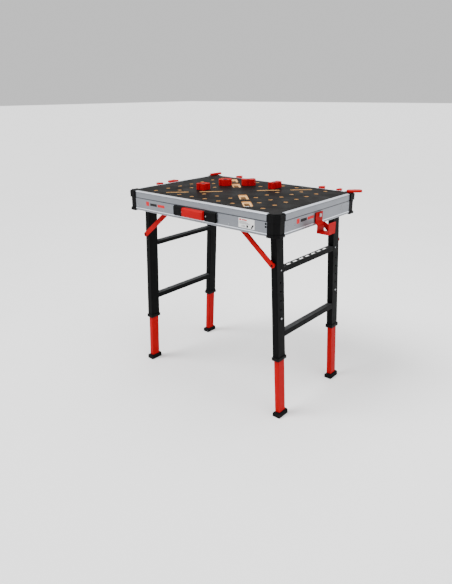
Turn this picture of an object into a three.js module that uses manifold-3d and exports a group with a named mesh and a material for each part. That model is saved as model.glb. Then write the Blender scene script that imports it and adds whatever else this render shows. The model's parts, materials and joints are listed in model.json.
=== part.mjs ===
// Folding multifunction workbench: a perforated worktop in an aluminium rail frame on two
// fold-in leg frames with telescopic legs. Millimetres, +Z up, floor at z = 0.
// X runs along the long side, -Y is the side with the carrying handle.
import * as THREE from 'three';
import { mergeVertices } from 'three/addons/utils/BufferGeometryUtils.js';
import Module from 'manifold-3d';

const wasm = await Module();
wasm.setup();

// ---------------------------------------------------------------- driving dimensions
const LENGTH = 880;
const WIDTH = 614;
const HEIGHT = 938;
const GAP = 0.3;

const BOARD_THICKNESS = 18;
const RAIL_LIP = 15;
const RAIL_HEIGHT = 91;
const RAIL_WALL = 3.5;
const RAIL_END = { x: 392, y: 256 };
const CORNER_CHAMFER = 20;
const CAP = { bottom: -94, skirtTop: -84, hoodTop: -3, hoodBottom: -31, hoodProud: 5, wall: 24 };
const BOARD_CHAMFER = 10.6;

const HOLE_DIAMETER = 20;
const HOLE_PITCH = 80;
const SLOT_WIDTH = 20;
const DIAGONAL_SLOTS = [[54, 138], [166, 248]];
const POCKETS = [
  { x: 109, y: -105, length: 108, width: 40 },
  { x: 216, y: -211, length: 108, width: 40 },
];
const POCKET_RIM = 7;
const POCKET_REBATE = 5;

const SPLAY = THREE.MathUtils.degToRad(3.15);
const LEG_X = { depth: 97, x: 381.7 };
const LEG_Y = 224.3;
const PIVOT_DEPTH = { left: 76, right: 40 };
const FRAME_DROP = { left: 27, right: 0 };
const PIVOT_ROD = 12;
const TUBE = { x: 30, y: 52, wall: 1.8, above: 13, bottomDepth: 650 };
const INNER_TUBE = { x: 25, y: 45, wall: 1.8, topDepth: 440 };
const COLLAR = { top: 642, bottom: 658, proudX: 3.6, proudY: 3.7 };
const ADJUST_DEPTHS = [303, 343, 383, 423, 463];
const BUTTON = { diameter: 9, proud: 2.5 };
const FOOT = { x: 38, y: 66, height: 23, plug: 14 };
const UPPER_BAR = { top: 242, height: 22, depth: 30, wall: 2, slot: 30, slotDepth: 11, pitch: 48 };
const BAR_SLOTS = { left: 0, right: 7 };
const BAR_LIP = { left: 18, right: 2 };
const LOWER_BAR = { top: 529, height: 25, depth: 30, wall: 1.6 };

const BRACE = { pinDepth: 222, endX: 197, endDepth: 68, width: 22, inner: 258.5, outer: 265, wall: 1.8 };
const BRACKET = { inner: 251, outer: 254, halfWidth: 16, flange: 266 };

const HANDLE = { middle: 3, half: 127, gripHalf: 62, top: 33, bottom: 79, depth: 9 };
const GRIP = { top: 34.5, bottom: 75, near: 3, far: 22 };

const RED = 0xd01018;
const BLACK = 0x17181a;
const ALUMINIUM = 0xb4b8bd;
const FILM = 0x26282a;
const STEEL = 0x8d9094;

// ---------------------------------------------------------------- geometry helpers
function solid(geometry) {
  const bare = geometry.index ? geometry.toNonIndexed() : geometry.clone();
  bare.deleteAttribute('normal');
  bare.deleteAttribute('uv');
  const merged = mergeVertices(bare, 1e-4);
  return new wasm.Manifold(new wasm.Mesh({
    numProp: 3,
    vertProperties: new Float32Array(merged.attributes.position.array),
    triVerts: new Uint32Array(merged.index.array),
  }));
}

function geometryOf(manifold) {
  const mesh = manifold.getMesh();
  const geometry = new THREE.BufferGeometry();
  geometry.setAttribute('position', new THREE.BufferAttribute(new Float32Array(mesh.vertProperties), 3));
  geometry.setIndex(new THREE.BufferAttribute(new Uint32Array(mesh.triVerts), 1));
  return geometry;
}

// Box between two corners given as [x0, x1], [y0, y1], [z0, z1], in any order.
function box(xs, ys, zs) {
  const size = [xs, ys, zs].map(([a, b]) => Math.abs(b - a));
  const geometry = new THREE.BoxGeometry(...size);
  geometry.translate((xs[0] + xs[1]) / 2, (ys[0] + ys[1]) / 2, (zs[0] + zs[1]) / 2);
  return solid(geometry);
}

// Cylinder from `from` to `to` along one axis through the point `at` (its other two coordinates).
function cylinder(axis, radius, from, to, at, segments = 16) {
  const geometry = new THREE.CylinderGeometry(radius, radius, Math.abs(to - from), segments);
  const middle = (from + to) / 2;
  if (axis === 'x') geometry.rotateZ(-Math.PI / 2).translate(middle, at[0], at[1]);
  if (axis === 'y') geometry.translate(at[0], middle, at[1]);
  if (axis === 'z') geometry.rotateX(Math.PI / 2).translate(at[0], at[1], middle);
  return solid(geometry);
}

// Outline points in the X-Y plane extruded from z0 to z1.
function prism(points, z0, z1) {
  const shape = new THREE.Shape(points.map(([x, y]) => new THREE.Vector2(x, y)));
  const geometry = new THREE.ExtrudeGeometry(shape, { depth: Math.abs(z1 - z0), bevelEnabled: false });
  geometry.translate(0, 0, Math.min(z0, z1));
  return solid(geometry);
}

// Outline points (x, z) extruded along Y.
function prismY(points, y0, y1) {
  const shape = new THREE.Shape(points.map(([x, z]) => new THREE.Vector2(x, z)));
  const geometry = new THREE.ExtrudeGeometry(shape, { depth: Math.abs(y1 - y0), bevelEnabled: false });
  geometry.rotateX(Math.PI / 2).translate(0, Math.max(y0, y1), 0);
  return solid(geometry);
}

// Outline points (y, z) extruded along X.
function prismX(points, x0, x1) {
  const shape = new THREE.Shape(points.map(([y, z]) => new THREE.Vector2(y, z)));
  const geometry = new THREE.ExtrudeGeometry(shape, { depth: Math.abs(x1 - x0), bevelEnabled: false });
  const axesTurned = new THREE.Matrix4().set(0, 0, 1, Math.min(x0, x1), 1, 0, 0, 0, 0, 1, 0, 0, 0, 0, 0, 1);
  geometry.applyMatrix4(axesTurned);
  return solid(geometry);
}

function union(first, ...others) {
  return others.reduce((whole, piece) => whole.add(piece), first);
}

function cut(first, ...tools) {
  return tools.reduce((whole, tool) => whole.subtract(tool), first);
}

function moved(shape, x, y, z) {
  return solid(geometryOf(shape).translate(x, y, z));
}

function turnedZ(shape, angle) {
  return solid(geometryOf(shape).rotateZ(angle));
}

function turnedY(shape, angle) {
  return solid(geometryOf(shape).rotateY(angle));
}

const group = new THREE.Group();

function addMesh(parent, name, shape, color, roughness, metalness = 0) {
  const material = new THREE.MeshStandardMaterial({ color, roughness, metalness });
  const mesh = new THREE.Mesh(geometryOf(shape), material);
  mesh.name = name;
  parent.add(mesh);
}

const SIDES = { left: -1, right: 1 };
const ENDS = { front: -1, back: 1 };

// ---------------------------------------------------------------- worktop board
const boardHalf = { x: LENGTH / 2 - RAIL_LIP - GAP, y: WIDTH / 2 - RAIL_LIP - GAP };

// Dog holes fill a square grid except at its centre and where a diagonal slot or pocket runs.
function hasDogHole(i, j) {
  const nearCentre = Math.abs(i) <= 1 && Math.abs(j) <= 1;
  const onDiagonal = Math.abs(i) === Math.abs(j) && Math.abs(i) >= 2;
  return !nearCentre && !onDiagonal;
}

function diagonalSlot([start, end]) {
  const radius = SLOT_WIDTH / 2;
  const half = ((end - start) * Math.SQRT2) / 2 - radius * (Math.SQRT2 - 1) - radius;
  const bar = box([-half, half], [-radius, radius], [-1, BOARD_THICKNESS + 1]);
  const rounds = [-half, half].map((x) => cylinder('z', radius, -1, BOARD_THICKNESS + 1, [x, 0], 12));
  const middle = (start + end) / 2;
  return moved(turnedZ(union(bar, ...rounds), Math.PI / 4), middle, middle, 0);
}

function pocket({ x, y, length, width }) {
  const inner = box(
    [-length / 2 + POCKET_RIM * 2.4, length / 2 - POCKET_RIM * 2.4],
    [-width / 2 + POCKET_RIM, width / 2 - POCKET_RIM], [-1, BOARD_THICKNESS],
  );
  const rebate = box(
    [-length / 2, length / 2], [-width / 2, width / 2],
    [BOARD_THICKNESS - POCKET_REBATE, BOARD_THICKNESS + 1],
  );
  return moved(turnedZ(union(inner, rebate), -Math.PI / 4), x, y, 0);
}

function worktop() {
  const { x, y } = boardHalf;
  const c = BOARD_CHAMFER;
  const outline = [
    [x - c, -y], [x, -y + c], [x, y - c], [x - c, y],
    [-x + c, y], [-x, y - c], [-x, -y + c], [-x + c, -y],
  ];
  const tools = [];
  for (let i = -4; i <= 4; i += 1) {
    for (let j = -3; j <= 3; j += 1) {
      if (hasDogHole(i, j)) {
        const at = [i * HOLE_PITCH, j * HOLE_PITCH];
        tools.push(cylinder('z', HOLE_DIAMETER / 2, -1, BOARD_THICKNESS + 1, at, 12));
      }
    }
  }
  for (const [start, end] of DIAGONAL_SLOTS) {
    tools.push(diagonalSlot([start, end]), diagonalSlot([-end, -start]));
  }
  for (const place of POCKETS) {
    tools.push(pocket(place), pocket({ ...place, x: -place.x, y: -place.y }));
  }
  return cut(prism(outline, 0, BOARD_THICKNESS), ...tools);
}

// ---------------------------------------------------------------- rail frame
// Rail section as (outward from the outer face, height above the worktop surface).
const RAIL_SECTION = [
  [-RAIL_LIP, 0], [-5, -0.8], [-1, -4], [0, -9], [0, -29], [-1.5, -30.5], [-1.5, -32], [-0.5, -33.5],
  [-0.5, -79], [1.5, -82], [1.5, -87], [-2, -RAIL_HEIGHT], [-14, -RAIL_HEIGHT], [-14, -88],
  [-RAIL_WALL, -88], [-RAIL_WALL, -21.3], [-30, -21.3], [-30, -BOARD_THICKNESS - GAP],
  [-RAIL_WALL, -BOARD_THICKNESS - GAP], [-RAIL_WALL, -6], [-6, -4], [-RAIL_LIP, -3],
];

function longRail(end) {
  const outline = RAIL_SECTION.map(([out, z]) => [end * (WIDTH / 2 + out), HEIGHT + z]);
  return prismX(outline, -RAIL_END.x, RAIL_END.x);
}

function shortRail(side) {
  const outline = RAIL_SECTION.map(([out, z]) => [side * (LENGTH / 2 + out), HEIGHT + z]);
  return prismY(outline, -RAIL_END.y, RAIL_END.y);
}

// L-shaped band round a corner, from `out` beyond the rail faces to `inside` behind them.
function cornerBand(side, end, startX, startY, out, inside, z0, z1) {
  const c = CORNER_CHAMFER;
  const x = LENGTH / 2 + out;
  const y = WIDTH / 2 + out;
  const bend = (out + inside) * (Math.SQRT2 - 1);
  const outline = [
    [startX, y], [x - c, y], [x, y - c], [x, startY],
    [x - out - inside, startY], [x - out - inside, y - c - bend],
    [x - c - bend, y - out - inside], [startX, y - out - inside],
  ];
  return prism(outline.map(([px, py]) => [side * px, end * py]), HEIGHT + z0, HEIGHT + z1);
}

function cornerCap(side, end) {
  const x = RAIL_END.x + GAP;
  const y = RAIL_END.y + GAP;
  const below = -BOARD_THICKNESS - GAP;
  const wall = cornerBand(side, end, x, y, 1, CAP.wall, CAP.bottom, below);
  const rim = cornerBand(side, end, x, y, 1, RAIL_LIP, below, 0.5);
  const hood = cornerBand(side, end, x, y, CAP.hoodProud, 0, CAP.hoodBottom, CAP.hoodTop);
  const skirt = cornerBand(side, end, x, y, CAP.hoodProud, 4, CAP.bottom, CAP.skirtTop);
  return union(wall, rim, hood, skirt);
}

// ---------------------------------------------------------------- carrying handle
const frontFace = -WIDTH / 2 - GAP;

function handleMount(side) {
  const { middle, half, gripHalf, top, bottom, depth } = HANDLE;
  const c = 5;
  const outline = [
    [frontFace, -top], [frontFace - depth + c, -top], [frontFace - depth, -top - c],
    [frontFace - depth, -bottom + c], [frontFace - depth + c, -bottom], [frontFace, -bottom],
  ].map(([y, z]) => [y, HEIGHT + z]);
  return prismX(outline, middle + side * (gripHalf + GAP), middle + side * half);
}

function handleGrip() {
  const { top, bottom, near, far } = GRIP;
  const c = 6;
  const outline = [
    [-near, -top - 2], [-near - 2, -top], [-far + c, -top], [-far, -top - c],
    [-far, -bottom + c], [-far + c, -bottom], [-near - 2, -bottom], [-near, -bottom + 2],
  ].map(([out, z]) => [-WIDTH / 2 + out, HEIGHT + z]);
  return prismX(outline, HANDLE.middle - HANDLE.gripHalf, HANDLE.middle + HANDLE.gripHalf);
}

// ---------------------------------------------------------------- tool holder on the right rail
const HOLDER = { y0: -36, y1: 18, top: 37, bend: 80, bottom: 123, step: 10, reach: 67, lipTop: 74, sheet: 3 };
const HOLDER_BOLT = { y: -7, depth: 50, head: 8, hole: 5 };

function toolHolder() {
  const { y0, y1, top, bend, bottom, step, reach, lipTop, sheet } = HOLDER;
  const face = LENGTH / 2 + 1.5 + GAP;
  const section = [
    [0, top], [sheet, top], [sheet, bend - 2], [step + sheet, bend + 8], [step + sheet, bottom - sheet],
    [reach - sheet, bottom - sheet], [reach - sheet, lipTop], [reach, lipTop], [reach, bottom],
    [step, bottom], [step, bend + 9], [0, bend],
  ].map(([out, depth]) => [face + out, HEIGHT - depth]);
  const stay = [
    [step, bend + 2], [step + 6, bend + 2], [reach, bottom - 16], [reach, bottom - 4], [step, bend + 14],
  ].map(([out, depth]) => [face + out, HEIGHT - depth]);
  const hole = cylinder(
    'x', HOLDER_BOLT.hole, face - 1, face + sheet + 1, [HOLDER_BOLT.y, HEIGHT - HOLDER_BOLT.depth], 12,
  );
  return cut(union(prismY(section, y0, y1), prismY(stay, y1 - sheet, y1)), hole);
}

function toolHolderBolt() {
  const at = [HOLDER_BOLT.y, HEIGHT - HOLDER_BOLT.depth];
  const face = LENGTH / 2 + 1.5 + GAP + HOLDER.sheet + GAP;
  const head = cylinder('x', HOLDER_BOLT.head, face, face + 6, at, 12);
  const shank = cylinder('x', HOLDER_BOLT.hole - 0.4, LENGTH / 2 + GAP, face + 1, at, 12);
  return union(head, shank);
}

// ---------------------------------------------------------------- edge stops
// Each stop is a red tongue at worktop level on a small plate against the rail's upper band.
const LEFT_STOPS = {
  left_front_stop: { at: -100, root: 36, tip: 12, reach: 28, lift: 5 },
  left_back_stop: { at: -2, root: 56, tip: 44, reach: 30, lift: 5 },
};
const BACK_STOPS = {
  back_left_stop: { at: -262, root: 38, tip: 12, reach: 26, lift: 7 },
  back_middle_stop: { at: 258, root: 34, tip: 12, reach: 26, lift: 7 },
  back_right_stop: { at: 350, root: 24, tip: 12, reach: 28, lift: 5 },
};

function stopShape({ root, tip, reach, lift }) {
  const tongue = prism([[-root / 2, GAP], [root / 2, GAP], [tip / 2, reach], [-tip / 2, reach]], -5, lift);
  const plate = box([-root / 2, root / 2], [GAP, 3.3], [-32, -4]);
  return union(tongue, plate);
}

function leftStop(stop) {
  const turned = turnedZ(stopShape(stop), Math.PI / 2);
  return moved(turned, -LENGTH / 2, stop.at, HEIGHT);
}

function backStop(stop) {
  return moved(stopShape(stop), stop.at, WIDTH / 2, HEIGHT);
}

// Rounded lever lying over a back corner cap.
const LEVER = { z0: 0.8, z1: 11 };
const LEVERS = {
  left_corner_lever: { x: -424, y: 300, angle: THREE.MathUtils.degToRad(84), length: 80, width: 22 },
  right_corner_lever: { x: 436, y: 303, angle: THREE.MathUtils.degToRad(42), length: 72, width: 36 },
};

function cornerLever({ x, y, angle, length, width }) {
  const radius = width / 2;
  const straight = length / 2 - radius;
  const bar = box([-straight, straight], [-radius, radius], [LEVER.z0, LEVER.z1]);
  const ends = [-straight, straight].map((at) => cylinder('z', radius, LEVER.z0, LEVER.z1, [at, 0], 16));
  return moved(turnedZ(union(bar, ...ends), angle), x, y, HEIGHT);
}

// ---------------------------------------------------------------- clamping jaws
const JAW_HEIGHT = 30;
const PEG = { radius: 9.2, length: 16 };

function jaw(outline) {
  const body = prism(outline, GAP, JAW_HEIGHT);
  const peg = cylinder('z', PEG.radius, -PEG.length, GAP + 1, [0, 0], 12);
  return union(body, peg);
}

function roundOutline(radius, count) {
  return Array.from({ length: count }, (_, k) => {
    const angle = (k / count) * Math.PI * 2;
    return [radius * Math.cos(angle), radius * Math.sin(angle)];
  });
}

const JAWS = {
  square_jaw: { i: -2, j: -1, outline: [[-26, -20], [-20, -26], [26, -26], [26, 20], [20, 26], [-26, 26]] },
  round_jaw: { i: -2, j: 1, outline: roundOutline(33, 20) },
  vee_jaw: {
    i: -1,
    j: 2,
    outline: [
      [-11, -36], [3, -43], [22, -34], [24, -27], [31, -26], [46, -7], [44, 9],
      [23, 30], [11, 30], [1, 5], [-5, 0], [-25, -5], [-27, -16],
    ],
  },
  wide_jaw: { i: 1, j: 2, outline: [[-9, -33], [17, -33], [20, -27], [20, 39], [-9, 39]] },
};

// ---------------------------------------------------------------- leg frames
function legX(depth) {
  return LEG_X.x + (depth - LEG_X.depth) * Math.tan(SPLAY);
}

function pivotOf(side) {
  const depth = PIVOT_DEPTH[side];
  return { x: SIDES[side] * legX(depth), z: HEIGHT - depth, depth };
}

// Distance down the splayed leg, from the pivot to a level `depth` below the worktop.
function downLeg(side, depth) {
  return -(depth - PIVOT_DEPTH[side]) / Math.cos(SPLAY);
}

// The same for what is built into the leg frame, which hangs lower on the left side.
function onFrame(side, depth) {
  return downLeg(side, depth + FRAME_DROP[side]);
}

function outerLeg(side, end) {
  const s = SIDES[side];
  const y = end * LEG_Y;
  const bottom = onFrame(side, TUBE.bottomDepth);
  const hx = TUBE.x / 2;
  const hy = TUBE.y / 2;
  const tube = box([-hx, hx], [y - hy, y + hy], [bottom, TUBE.above]);
  const bore = box(
    [-hx + TUBE.wall, hx - TUBE.wall], [y - hy + TUBE.wall, y + hy - TUBE.wall],
    [bottom - 1, TUBE.above - TUBE.wall],
  );
  const pivotHole = cylinder('y', PIVOT_ROD / 2 + GAP, y - hy - 1, y + hy + 1, [0, 0], 16);
  const pinAt = [0, downLeg(side, BRACE.pinDepth)];
  const pinHole = cylinder('y', 4 + GAP, y, y + end * (hy + 1), pinAt, 12);
  const holes = ADJUST_DEPTHS.map((depth) => cylinder(
    'x', BUTTON.diameter / 2 + GAP, 0, s * (hx + 1), [y, onFrame(side, depth)], 12,
  ));
  return cut(tube, bore, pivotHole, pinHole, ...holes);
}

function innerLeg(side, end) {
  const s = SIDES[side];
  const y = end * LEG_Y;
  const top = onFrame(side, INNER_TUBE.topDepth);
  const bottom = downLeg(side, HEIGHT - FOOT.height - 1);
  const hx = INNER_TUBE.x / 2;
  const hy = INNER_TUBE.y / 2;
  const tube = box([-hx, hx], [y - hy, y + hy], [bottom, top]);
  const bore = box(
    [-hx + INNER_TUBE.wall, hx - INNER_TUBE.wall], [y - hy + INNER_TUBE.wall, y + hy - INNER_TUBE.wall],
    [bottom - 1, top + 1],
  );
  const buttonDepth = ADJUST_DEPTHS[ADJUST_DEPTHS.length - 1];
  const hole = cylinder('x', BUTTON.diameter / 2 + GAP, 0, s * (hx + 1), [y, onFrame(side, buttonDepth)], 12);
  return cut(tube, bore, hole);
}

// One spring-steel piece: a leaf inside the inner tube with the button formed at its upper end.
function snapButton(side, end) {
  const s = SIDES[side];
  const y = end * LEG_Y;
  const z = onFrame(side, ADJUST_DEPTHS[ADJUST_DEPTHS.length - 1]);
  const leafFace = INNER_TUBE.x / 2 - INNER_TUBE.wall - GAP;
  const tip = s * (TUBE.x / 2 + BUTTON.proud);
  const pin = cylinder('x', BUTTON.diameter / 2, s * (leafFace - 1), tip, [y, z], 12);
  const leaf = box([s * (leafFace - 1.2), s * leafFace], [y - 7, y + 7], [z - 48, z + 9]);
  return union(pin, leaf);
}

function collar(side, end) {
  const y = end * LEG_Y;
  const top = onFrame(side, COLLAR.top);
  const tubeEnd = onFrame(side, TUBE.bottomDepth) - GAP;
  const bottom = onFrame(side, COLLAR.bottom);
  const hx = TUBE.x / 2;
  const hy = TUBE.y / 2;
  const block = box(
    [-hx - COLLAR.proudX, hx + COLLAR.proudX], [y - hy - COLLAR.proudY, y + hy + COLLAR.proudY],
    [bottom, top],
  );
  const seat = box([-hx - GAP, hx + GAP], [y - hy - GAP, y + hy + GAP], [tubeEnd, top + 1]);
  const guide = box(
    [-INNER_TUBE.x / 2 - GAP, INNER_TUBE.x / 2 + GAP],
    [y - INNER_TUBE.y / 2 - GAP, y + INNER_TUBE.y / 2 + GAP],
    [bottom - 1, tubeEnd + 1],
  );
  return cut(block, seat, guide);
}

// Flat on the floor, so its base is turned back by the leg's splay; the plug fills the tube's mouth.
function foot(side, end) {
  const s = SIDES[side];
  const hx = FOOT.x / 2;
  const outline = [
    [-hx, 0], [hx, 0], [hx, FOOT.height - 6], [hx - 5, FOOT.height],
    [-hx + 5, FOOT.height], [-hx, FOOT.height - 6],
  ];
  const base = turnedY(prismY(outline, -FOOT.y / 2, FOOT.y / 2), s * SPLAY);
  const plugX = INNER_TUBE.x / 2 - INNER_TUBE.wall - GAP;
  const plugY = INNER_TUBE.y / 2 - INNER_TUBE.wall - GAP;
  const plug = box([-plugX, plugX], [-plugY, plugY], [FOOT.height - 4, FOOT.height + FOOT.plug]);
  return moved(union(base, plug), 0, end * LEG_Y, downLeg(side, HEIGHT));
}

// Section between the legs: outer face, top shelf with slots on the right side, inner lip on the left.
function upperBar(side) {
  const s = SIDES[side];
  const half = LEG_Y - TUBE.y / 2 - GAP;
  const top = onFrame(side, UPPER_BAR.top);
  const outer = TUBE.x / 2;
  const face = box([s * (outer - UPPER_BAR.wall), s * outer], [-half, half], [top - UPPER_BAR.height, top]);
  const inner = outer - UPPER_BAR.depth;
  const shelf = box([s * inner, s * outer], [-half, half], [top - UPPER_BAR.wall, top]);
  const lip = box([s * inner, s * (inner + UPPER_BAR.wall)], [-half, half], [top - BAR_LIP[side], top]);
  const slots = [];
  const middle = s * (outer - UPPER_BAR.depth / 2 - 1);
  for (let k = 0; k < BAR_SLOTS[side]; k += 1) {
    const y = (k - (BAR_SLOTS[side] - 1) / 2) * UPPER_BAR.pitch;
    slots.push(box(
      [middle - UPPER_BAR.slotDepth / 2, middle + UPPER_BAR.slotDepth / 2],
      [y - UPPER_BAR.slot / 2, y + UPPER_BAR.slot / 2], [top - UPPER_BAR.wall - 1, top + 1],
    ));
  }
  return cut(union(face, shelf, lip), ...slots);
}

function lowerBar(side) {
  const half = LEG_Y - TUBE.y / 2 - GAP;
  const top = onFrame(side, LOWER_BAR.top);
  const bottom = top - LOWER_BAR.height;
  const hx = LOWER_BAR.depth / 2;
  const w = LOWER_BAR.wall;
  const tube = box([-hx, hx], [-half, half], [bottom, top]);
  const bore = box([-hx + w, hx - w], [-half - 1, half + 1], [bottom + w, top - w]);
  return cut(tube, bore);
}

// ---------------------------------------------------------------- folding braces
// Channel from the leg up to under the worktop, with a boss and rivet through the leg's wall.
function brace(side, end) {
  const s = SIDES[side];
  const pin = { x: s * legX(BRACE.pinDepth), z: HEIGHT - BRACE.pinDepth };
  const rise = { x: s * BRACE.endX - pin.x, z: BRACE.pinDepth - BRACE.endDepth };
  const length = Math.hypot(rise.x, rise.z);
  const angle = Math.atan2(rise.z, rise.x);
  const hw = BRACE.width / 2;
  const roundEnd = (radius) => cylinder('y', radius, end * BRACE.inner, end * BRACE.outer, [0, 0], 20);
  const bar = union(box([0, length], [end * BRACE.inner, end * BRACE.outer], [-hw, hw]), roundEnd(hw));
  const hollow = box(
    [0, length + 1], [end * (BRACE.inner - 1), end * (BRACE.outer - BRACE.wall)],
    [-hw + BRACE.wall, hw - BRACE.wall],
  );
  const legFace = LEG_Y + TUBE.y / 2 + GAP;
  const boss = cylinder('y', 8, end * legFace, end * (BRACE.outer - 1), [0, 0], 12);
  const rivet = cylinder('y', 4, end * (legFace - 4), end * (legFace + 1), [0, 0], 12);
  const whole = union(cut(bar, hollow), boss, rivet);
  return moved(turnedY(whole, -angle), pin.x, 0, pin.z);
}

// ---------------------------------------------------------------- fold hinges
function hingeBracket(side, end) {
  const pivot = pivotOf(side);
  const top = HEIGHT - BOARD_THICKNESS - GAP;
  const { inner, outer, halfWidth, flange } = BRACKET;
  const span = [pivot.x - halfWidth, pivot.x + halfWidth];
  const plate = box(span, [end * inner, end * outer], [pivot.z - 12, top]);
  const foldedEdge = box(span, [end * inner, end * flange], [top - 3, top]);
  const at = [pivot.x, pivot.z];
  const hole = cylinder('y', PIVOT_ROD / 2 + GAP, end * (inner - 1), end * (outer + 1), at, 16);
  return cut(union(plate, foldedEdge), hole);
}

function pivotRod(side) {
  const pivot = pivotOf(side);
  const half = BRACKET.outer + 2;
  return cylinder('y', PIVOT_ROD / 2, -half, half, [pivot.x, pivot.z], 16);
}

// ---------------------------------------------------------------- assembly
addMesh(group, 'worktop', moved(worktop(), 0, 0, HEIGHT - BOARD_THICKNESS), FILM, 0.6);
for (const [end, e] of Object.entries(ENDS)) {
  addMesh(group, `${end}_rail`, longRail(e), ALUMINIUM, 0.35, 0.9);
}
for (const [side, s] of Object.entries(SIDES)) {
  addMesh(group, `${side}_rail`, shortRail(s), ALUMINIUM, 0.35, 0.9);
  for (const [end, e] of Object.entries(ENDS)) {
    addMesh(group, `${end}_${side}_corner_cap`, cornerCap(s, e), BLACK, 0.55);
  }
  addMesh(group, `${side}_handle_mount`, handleMount(s), BLACK, 0.5);
}
addMesh(group, 'handle_grip', handleGrip(), RED, 0.45);
addMesh(group, 'tool_holder', toolHolder(), RED, 0.4, 0.2);
addMesh(group, 'tool_holder_bolt', toolHolderBolt(), STEEL, 0.4, 0.8);
for (const [name, stop] of Object.entries(LEFT_STOPS)) {
  addMesh(group, name, leftStop(stop), RED, 0.4, 0.2);
}
for (const [name, stop] of Object.entries(BACK_STOPS)) {
  addMesh(group, name, backStop(stop), RED, 0.4, 0.2);
}
for (const [name, place] of Object.entries(LEVERS)) {
  addMesh(group, name, cornerLever(place), RED, 0.4);
}
for (const [name, { i, j, outline }] of Object.entries(JAWS)) {
  addMesh(group, name, moved(jaw(outline), i * HOLE_PITCH, j * HOLE_PITCH, HEIGHT), RED, 0.45);
}

for (const [side, s] of Object.entries(SIDES)) {
  const pivot = pivotOf(side);
  const frame = new THREE.Group();
  frame.position.set(pivot.x, 0, pivot.z);
  frame.rotation.y = -s * SPLAY;
  group.add(frame);
  addMesh(group, `${side}_pivot_rod`, pivotRod(side), STEEL, 0.4, 0.9);
  addMesh(frame, `${side}_upper_crossbar`, upperBar(side), BLACK, 0.5, 0.3);
  addMesh(frame, `${side}_lower_crossbar`, lowerBar(side), BLACK, 0.5, 0.3);
  for (const [end, e] of Object.entries(ENDS)) {
    const corner = `${end}_${side}`;
    addMesh(group, `${corner}_hinge_bracket`, hingeBracket(side, e), STEEL, 0.45, 0.8);
    addMesh(group, `${corner}_brace`, brace(side, e), RED, 0.4, 0.2);
    addMesh(frame, `${corner}_outer_leg`, outerLeg(side, e), BLACK, 0.5, 0.3);
    addMesh(frame, `${corner}_inner_leg`, innerLeg(side, e), RED, 0.4, 0.2);
    addMesh(frame, `${corner}_snap_button`, snapButton(side, e), STEEL, 0.35, 0.9);
    addMesh(frame, `${corner}_collar`, collar(side, e), BLACK, 0.6);
    addMesh(frame, `${corner}_foot`, foot(side, e), BLACK, 0.7);
  }
}

// The origin is under the middle of the whole object's box.
group.updateMatrixWorld(true);
const centre = new THREE.Box3().setFromObject(group).getCenter(new THREE.Vector3());
group.position.set(-centre.x, -centre.y, 0);

export default group;
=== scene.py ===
"""Folding multifunction workbench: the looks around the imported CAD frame. Metres, +Z up."""

import json
import math

import bmesh
import bpy
from mathutils import Matrix, Vector

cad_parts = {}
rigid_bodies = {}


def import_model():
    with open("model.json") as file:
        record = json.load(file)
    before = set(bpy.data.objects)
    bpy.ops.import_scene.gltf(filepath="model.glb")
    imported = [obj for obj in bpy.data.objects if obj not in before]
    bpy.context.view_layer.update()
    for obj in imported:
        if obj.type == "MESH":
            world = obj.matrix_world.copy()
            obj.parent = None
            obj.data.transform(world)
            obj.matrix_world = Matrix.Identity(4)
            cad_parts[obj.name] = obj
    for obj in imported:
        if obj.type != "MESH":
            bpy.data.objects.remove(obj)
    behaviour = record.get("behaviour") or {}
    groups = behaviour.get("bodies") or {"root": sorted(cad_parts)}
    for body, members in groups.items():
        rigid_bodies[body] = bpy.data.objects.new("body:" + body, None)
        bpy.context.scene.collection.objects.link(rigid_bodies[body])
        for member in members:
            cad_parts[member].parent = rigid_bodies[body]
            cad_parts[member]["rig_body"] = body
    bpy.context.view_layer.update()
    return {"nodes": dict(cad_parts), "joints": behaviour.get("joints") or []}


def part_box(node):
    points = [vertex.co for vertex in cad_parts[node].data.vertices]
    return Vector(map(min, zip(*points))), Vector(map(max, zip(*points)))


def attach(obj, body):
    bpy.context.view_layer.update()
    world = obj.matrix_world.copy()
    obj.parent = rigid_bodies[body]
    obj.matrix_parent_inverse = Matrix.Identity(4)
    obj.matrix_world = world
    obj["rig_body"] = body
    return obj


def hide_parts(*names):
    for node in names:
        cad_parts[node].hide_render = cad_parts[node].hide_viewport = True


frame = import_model()
MM = 0.001
SAME_PLACE = 2e-6

JOINT_AT = {joint["name"]: joint.get("pos_m") for joint in frame["joints"]}
SIDES = {"left": -1, "right": 1}
ENDS = {"front": -1, "back": 1}


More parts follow.
